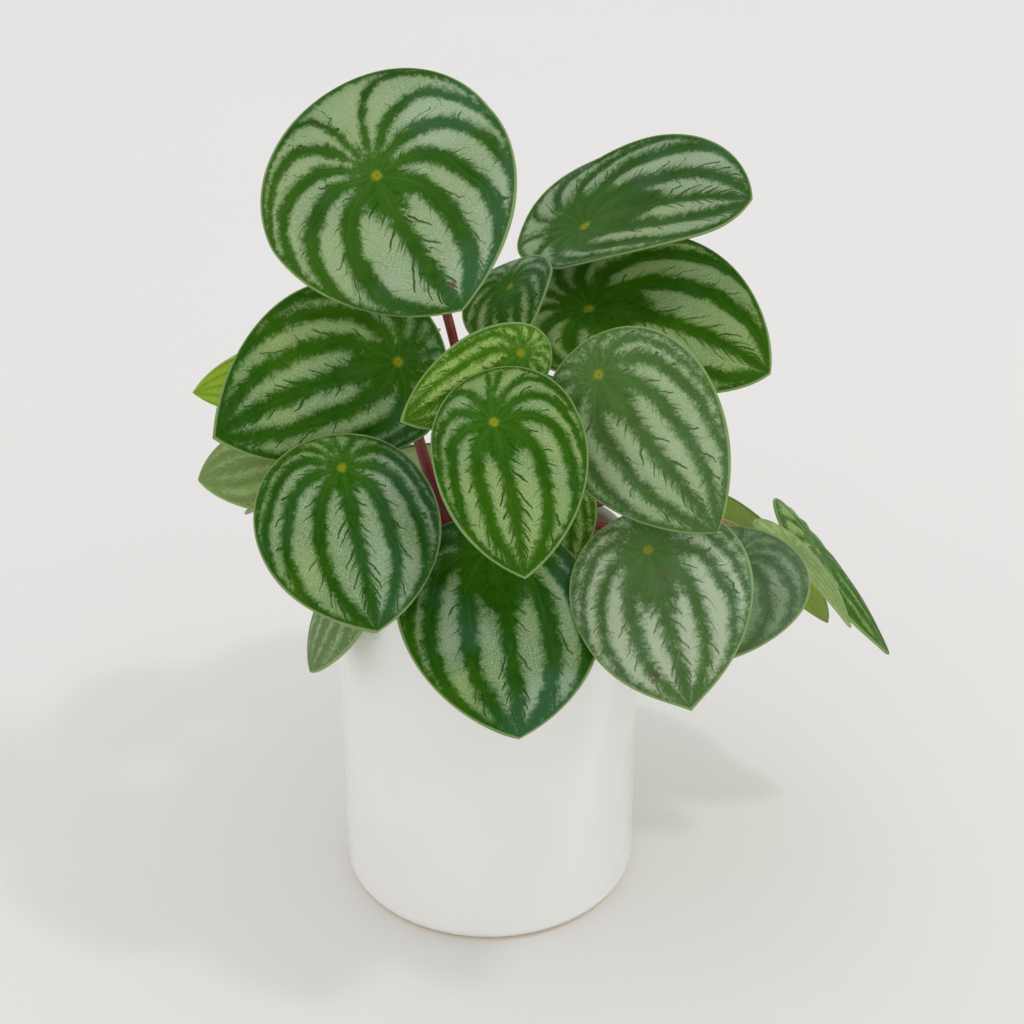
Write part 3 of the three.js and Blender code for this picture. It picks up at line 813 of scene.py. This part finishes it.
def silver_skin(speck, clear, inwards, painted_reflection, bloom, age):
    """The silver of the stripes: greener along the bands and the margin, yellower in parts, whiter and
    bluer in others under a painted reflection, and pale lime when young.
    """
    pale = speck.blend(seen(96, 128, 76), seen(160, 179, 144))
    pale = (clear.ease(3.0, 0.2) * 0.4).blend(pale, seen(86, 124, 60))
    pale = (inwards.ease(11.0, 3.0) * 0.4).blend(pale, seen(98, 134, 80))
    pale = (painted_reflection.ease(0.5, -0.1) * 0.4).blend(pale, seen(150, 172, 100))
    # Painted reflection: the silver whiter and bluer where the painted reflection mask is high.
    pale = (painted_reflection.ease(0.5, 1.1) * 0.4).blend(pale, seen(168, 188, 168))
    pale = ((bloom - 1.0) * 1.3).math("MAXIMUM", 0.0).blend(pale, seen(192, 205, 182))
    return age.blend(pale, speck.blend(seen(122, 156, 66), seen(168, 192, 112)))


def under_skin(fine, off, age, deep):
    """The underside: pale on a grown blade and lime on a young one, with its veins darker."""
    low = fine.blend(seen(132, 158, 100), seen(152, 176, 120))
    low = age.blend(low, fine.blend(seen(168, 206, 52), seen(190, 224, 82)))
    low = ((deep - 1.0) * 0.8).math("MAXIMUM", 0.0).blend(low, seen(96, 126, 34))
    return (off.bell(0.9) * 0.4).blend(low, seen(84, 118, 40))


def leaf_skin():
    """The skin of every blade, which reads from the mesh where a place lies among the veins."""
    material, tree, shader = finish("leaf skin", IOR=1.42, Specular_IOR_Level=0.04, Coat_Roughness=0.32)
    vein, flow, pitch, span, edge, away, under, size = (
        mark_of(tree, name) for name in ("vein", "flow", "pitch", "span", "edge", "away", "under", "size")
    )
    age, bloom, painted_sheen, wide, rib, deep, painted_reflection_bias = (mark_of(tree, name) for name in SKIN_KEYS)
    place = mark_of(tree, "place", "Vector")
    side = axis_of(tree, place, "X").math("SIGN")
    plant = axis_of(tree, place, "Z")
    far = away / size

    # The dark bands along the veins, slimmer the further out, and run together round the spot.
    # Their edges are softer on a blade under painted sheen, and on a dull one.
    dull = (bloom * -1.0).math("ADD", 1.0, clamp=True)
    drift = mottled(tree, place, 11.0, 1.0, 1.2) - 0.5
    number = vein + drift * 0.16
    nearest = number.math("ROUND")
    middle = nearest.ease(1.0, 0.0)
    across = (number - nearest) * pitch
    off = across.math("ABSOLUTE")
    band = (nearest * -BAND_LOSS + BAND_HALF) * wide * ((rib - 1.0) * middle + 1.0)
    band = band * (far.ease(20.0, 70.0) * -BAND_SLIM + 1.0) * size
    band = band.math("SMOOTH_MIN", pitch * 0.3, 0.5)
    beyond = off - band
    reach = (vein.bell(1.0) * DARK_AHEAD + DARK_SPOT) * size * deep
    clear = beyond.math("SMOOTH_MIN", (away - reach) * 0.4, 3.0)
    clear = clear.math("SMOOTH_MIN", edge - size * 1.9, 1.5)
    clear = clear / ((painted_sheen * 4.0 + dull * 3.0).math("MINIMUM", 0.8) + 1.0)

    # The veinlets: dark spikes that leave a band and slant through the silver to the tip.
    wander = drift * 1.2 + mottled(tree, place, 2.6, 1.0, 1.0) * 0.32

    def spikes(apart, longest, thick, slant, outer_only, seed):
        """Spikes every so many millimetres, up to so long, and so thick at the band."""
        density = USUAL_SPAN / apart
        step = flow * density - beyond / span * density * slant + wander
        cell = step.math("FLOOR")
        lane = nearest * 2.0 + side * 7.0 + across.math("SIGN") * 3.0
        which = place_node(tree, "CombineXYZ", 0, {"X": cell + seed, "Y": lane, "Z": plant})
        again = {"Vector": which, "W": 4.0}
        chance = place_node(tree, "TexWhiteNoise", "Value", {"Vector": which}, noise_dimensions="3D")
        shift = place_node(tree, "TexWhiteNoise", "Value", again, noise_dimensions="4D")
        within = ((step - cell) - (shift * 0.5 + 0.25)).math("ABSOLUTE") * span / density
        length = (chance * 0.9 + 0.1) * longest * size
        if outer_only:
            length = length * across.ease(-0.3, 0.3)
        room = (beyond / (length + 0.05)).ease(1.0, 0.0) * (middle * 0.15 + thick)
        return (within - room).ease(0.22, -0.1) * (length - beyond).ease(-0.1, 0.4)

    longest, middling, shortest = (spikes(*kind) * strength for *kind, strength in VEINLETS)
    spike = longest.math("MAXIMUM", middling).math("MAXIMUM", shortest)

    # Where the silver shows: clear of the bands, frayed along them, and cut by the veinlets.
    fuzz = mottled(tree, place, 1.1, 2.0, 1.0) - 0.5
    lump = mottled(tree, place, 3.4, 1.0, 1.4) - 0.5
    patch = mottled(tree, place, 7.0, 2.0, 3.0)
    silver = (clear + fuzz * 2.4 + lump * 1.7 + dull * patch * -5.0).ease(-0.9, 1.4)
    silver = silver * (spike * -0.95 + 1.0) * (dull * -0.5 + 1.0)

    # The skin's colours: streaked along the veins, with a painted bluish reflection on one part of a blade
    # and yellower on another.
    fine = mottled(tree, place, 0.55, 2.0, 2.4)
    # A painted reflection mask: large flecks, raised on one side of each blade and by its own bias; high
    # where the reflection is painted bluish, low where yellower.
    painted_reflection = mottled(tree, place, 30.0, 1.0, 2.8) - axis_of(tree, place, "X") * 0.011 + painted_reflection_bias
    fibre = place_node(tree, "CombineXYZ", 0, {"X": number * 11.0, "Y": flow * 2.0, "Z": plant})
    streak = mottled(tree, fibre, 1.0, 1.0, 1.1)
    entries = {"Vector": place, "Scale": 0.95}
    cells = place_node(tree, "TexVoronoi", "Distance", entries, feature="DISTANCE_TO_EDGE")
    net = cells.ease(0.02, 0.25)
    dark = band_skin(streak, painted_reflection, far, age)
    dark = (off.bell(0.5) * far.ease(26.0, 4.0) * 0.09).blend(dark, seen(112, 152, 100))
    dark = (spike * beyond.ease(-0.2, 1.2) * 0.6).blend(dark, seen(18, 58, 6))
    bright = silver_skin(fine * 0.55 + net * 0.45, clear, edge / size, painted_reflection, bloom, age)
    colour = silver.blend(dark, bright)
    # Painted sheen: a pale grey veil laid evenly over the whole of some blades.
    colour = painted_sheen.blend(colour, age.blend(seen(138, 156, 122), seen(172, 190, 126)))

    # The yellow spot over the stalk with its brown middle, the scars, and the pale margin.
    colour = ((away - size * 1.3 + fuzz * 1.8).ease(1.4, -0.8) * 0.85).blend(colour, seen(152, 158, 30))
    colour = ((away - size * 0.4 + fuzz * 1.2).ease(0.7, -0.5) * 0.7).blend(colour, seen(116, 92, 20))
    for leaf, x, y, radius, strength in SCARS:
        entries = {0: place, 1: (x, y, leaf * BLADE_APART)}
        near = place_node(tree, "VectorMath", 1, entries, operation="DISTANCE") + fuzz * 2.0
        colour = (near.ease(radius, radius * 0.4) * strength).blend(colour, seen(104, 62, 32))
    rim = (edge + fuzz * 0.4).ease(1.0, 0.3)
    colour = (rim * 0.6).blend(colour, seen(158, 182, 118))
    colour = under.ease(0.55, 0.8).blend(colour, under_skin(fine, off, age, deep))

    plug(tree, colour, shader.inputs["Base Color"])
    plug(tree, silver * 0.12 + (fine * 0.06 + 0.3), shader.inputs["Roughness"])
    plug(tree, silver * -0.03 + 0.045, shader.inputs["Coat Weight"])
    raised(tree, shader, net * 0.3 + fine * 0.15 - off.bell(0.8) * 0.5, 0.35)
    return material


blade_finish = leaf_skin()
faces = blade_faces()
for number, row in enumerate(LEAVES, 1):
    points, marks = blade(COMMON | row, number)
    piece_of(f"blade_{number:02d}", points, faces, blade_finish, f"leaf_{number:02d}", "leaf", **marks)

# The studio: a pale matt floor that runs out of sight, a soft light high on the right, and light
# from the walls and, less of it, from the ceiling, so that the plant throws one faint shadow.
FLOOR_SIDE = 40000
FLOOR_WHITE = seen(235, 233, 231)
FLOOR_CLOUD = seen(232, 231, 230)
KEY_PLACE = (1150, -430, 2250)
KEY_AIM = (0, 0, 100)
KEY_SIDE = 200
KEY_WATTS = 6.5
WALL_LIGHT = (1.44, 1.425, 1.41)
CEILING_LIGHT = (0.64, 0.64, 0.645)

floor_mesh = bpy.data.meshes.new("floor")
half_side = FLOOR_SIDE / 2 * MM
floor_mesh.from_pydata([(-half_side, -half_side, 0), (half_side, -half_side, 0), (half_side, half_side, 0),
                        (-half_side, half_side, 0)], [], [(0, 1, 2, 3)])
floor_finish, floor_tree, floor_shader = finish("pale floor", Roughness=0.6, Specular_IOR_Level=0.2)
floor_cloud = mottled(floor_tree, spot_mm(floor_tree), 260.0, 1.0, 1.0)
plug(floor_tree, floor_cloud.blend(FLOOR_WHITE, FLOOR_CLOUD), floor_shader.inputs["Base Color"])
floor_mesh.materials.append(floor_finish)
floor = bpy.data.objects.new("floor", floor_mesh)
bpy.context.scene.collection.objects.link(floor)

key = bpy.data.lights.new("key", "AREA")
key.shape = "SQUARE"
key.size = KEY_SIDE * MM
key.energy = KEY_WATTS
key_light = bpy.data.objects.new("key", key)
key_light.location = Vector(KEY_PLACE) * MM
key_light.rotation_euler = (Vector(KEY_AIM) - Vector(KEY_PLACE)).to_track_quat("-Z", "Y").to_euler()
bpy.context.scene.collection.objects.link(key_light)

room = bpy.data.worlds.new("room")
room.use_nodes = True
up = axis_of(room.node_tree, place_node(room.node_tree, "TexCoord", "Generated"), "Z")
lit = up.math("MAXIMUM", 0.0).blend(WALL_LIGHT, CEILING_LIGHT)
plug(room.node_tree, lit, room.node_tree.nodes["Background"].inputs["Color"])
bpy.context.scene.world = room
bpy.context.scene.view_settings.view_transform = "Standard"
